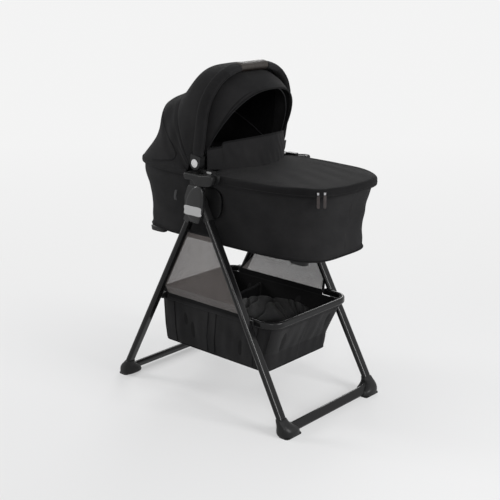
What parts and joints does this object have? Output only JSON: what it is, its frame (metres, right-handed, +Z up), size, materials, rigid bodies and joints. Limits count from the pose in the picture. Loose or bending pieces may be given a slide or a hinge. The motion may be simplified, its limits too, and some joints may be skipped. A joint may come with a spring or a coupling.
{
  "type": "bassinet on folding stand",
  "caption": "Oval fabric bassinet with an arched folding hood and carry handle, resting on a crossed-leg folding stand that holds an open storage basket.",
  "frame": {"origin": "centre of the overall box on the floor, under the soles of the four corner caps", "axes": "+X towards the toe end, +Y across to the side away from the zip pulls, +Z up"},
  "size_m": [0.8495, 0.486, 1.0997],
  "materials": {
    "frame_black": "gloss black coated tube",
    "plastic_black": "satin black moulded plastic",
    "sole_rubber": "black rubber",
    "bolt_steel": "plain steel",
    "tube_alu": "plain aluminium tube",
    "plate_white": "blank white plastic",
    "button_silver": "pale silver plastic",
    "fabric_black": "charcoal black woven fabric",
    "fabric_lining": "dark grey soft lining",
    "mesh": "see-through dark mesh",
    "board": "fabric-covered board",
    "mattress_cover": "pale cotton cover",
    "grip_leather": "brown stitched leather"
  },
  "bodies": {
    "head_frame": {"head_legs": "frame_black", "head_floor_bar": "frame_black", "head_foot_near": "plastic_black", "head_foot_far": "plastic_black", "head_foot_pads": "sole_rubber", "outer_hub_near": "plastic_black", "outer_hub_far": "plastic_black", "fold_bolt_near": "bolt_steel", "fold_bolt_far": "bolt_steel", "hub_plates": "plate_white", "head_basket_ring": "frame_black", "head_ring_brackets": "plastic_black", "basket": "fabric_black", "basket_board": "board", "mesh_panel_near": "mesh", "mesh_panel_far": "mesh"},
    "toe_frame": {"toe_legs": "frame_black", "toe_floor_bar": "frame_black", "toe_foot_near": "plastic_black", "toe_foot_far": "plastic_black", "toe_foot_pads": "sole_rubber", "inner_hub_near": "plastic_black", "inner_hub_far": "plastic_black", "toe_basket_ring": "frame_black", "toe_ring_brackets": "plastic_black"},
    "bassinet": {"tub_shell": "fabric_black", "tub_lining": "fabric_lining", "tub_floor": "board", "rim_frame": "tube_alu", "mattress": "mattress_cover", "tub_glides": "plastic_black", "apron": "fabric_black", "wind_flap": "fabric_black", "adapter_near": "plastic_black", "adapter_far": "plastic_black", "hood_pins": "bolt_steel", "canopy": "fabric_black"},
    "hood": {"handle_tube": "tube_alu", "handle_sleeve": "fabric_black", "grip": "grip_leather", "handle_ends": "plastic_black", "button_rings": "button_silver"},
    "rear_bow": {"canopy_bow": "bolt_steel", "canopy_bow_ends": "plastic_black"},
    "sun_visor": {"visor": "fabric_black", "visor_bow": "bolt_steel", "visor_bow_ends": "plastic_black"},
    "hood_button_near": {"hood_button_near": "button_silver"},
    "hood_button_far": {"hood_button_far": "button_silver"},
    "release_tab_near": {"release_tab_near": "plate_white"},
    "release_tab_far": {"release_tab_far": "plate_white"},
    "zip_pull_a": {"zip_pull_a": "grip_leather"},
    "zip_pull_b": {"zip_pull_b": "grip_leather"}
  },
  "joints": [
    {"name": "stand_fold", "type": "hinge", "parent": "head_frame", "child": "toe_frame", "pos_m": [-0.0322, 0, 0.672], "axis": [0, 1, 0], "range_deg": [0, 48], "deforming": ["basket", "mesh_panel_near", "mesh_panel_far"]},
    {"name": "bassinet_lift", "type": "slide", "parent": "head_frame", "child": "bassinet", "axis": [0, 0, 1], "range_m": [0, 0.25]},
    {"name": "hood_fold", "type": "hinge", "parent": "bassinet", "child": "hood", "pos_m": [-0.056, 0, 0.797], "axis": [0, -1, 0], "range_deg": [0, 70], "deforming": ["canopy"]},
    {"name": "rear_bow_turn", "type": "hinge", "parent": "bassinet", "child": "rear_bow", "pos_m": [-0.056, 0, 0.797], "axis": [0, -1, 0], "range_deg": [0, 35]},
    {"name": "visor_fold", "type": "hinge", "parent": "hood", "child": "sun_visor", "pos_m": [-0.056, 0, 0.797], "axis": [0, -1, 0], "range_deg": [0, 24], "deforming": ["visor"]},
    {"name": "hood_button_near_press", "type": "slide", "parent": "hood", "child": "hood_button_near", "axis": [0, 1, 0], "range_m": [0, 0.003], "stiffness_N_per_m": 400},
    {"name": "hood_button_far_press", "type": "slide", "parent": "hood", "child": "hood_button_far", "axis": [0, -1, 0], "range_m": [0, 0.003], "stiffness_N_per_m": 400},
    {"name": "release_tab_near_press", "type": "slide", "parent": "bassinet", "child": "release_tab_near", "axis": [0, 1, 0], "range_m": [0, 0.003], "stiffness_N_per_m": 400},
    {"name": "release_tab_far_press", "type": "slide", "parent": "bassinet", "child": "release_tab_far", "axis": [0, -1, 0], "range_m": [0, 0.003], "stiffness_N_per_m": 400},
    {"name": "zip_pull_a_swing", "type": "hinge", "parent": "bassinet", "child": "zip_pull_a", "pos_m": [0.38583, -0.14438, 0.761], "axis": [-0.7163, -0.6978, 0], "range_deg": [0, 70]},
    {"name": "zip_pull_b_swing", "type": "hinge", "parent": "bassinet", "child": "zip_pull_b", "pos_m": [0.39864, -0.12987, 0.761], "axis": [-0.6015, -0.7989, 0], "range_deg": [0, 70]}
  ],
  "couplings": [
    {"joint": "rear_bow_turn", "follows": "hood_fold", "ratio": 0.5}
  ]
}
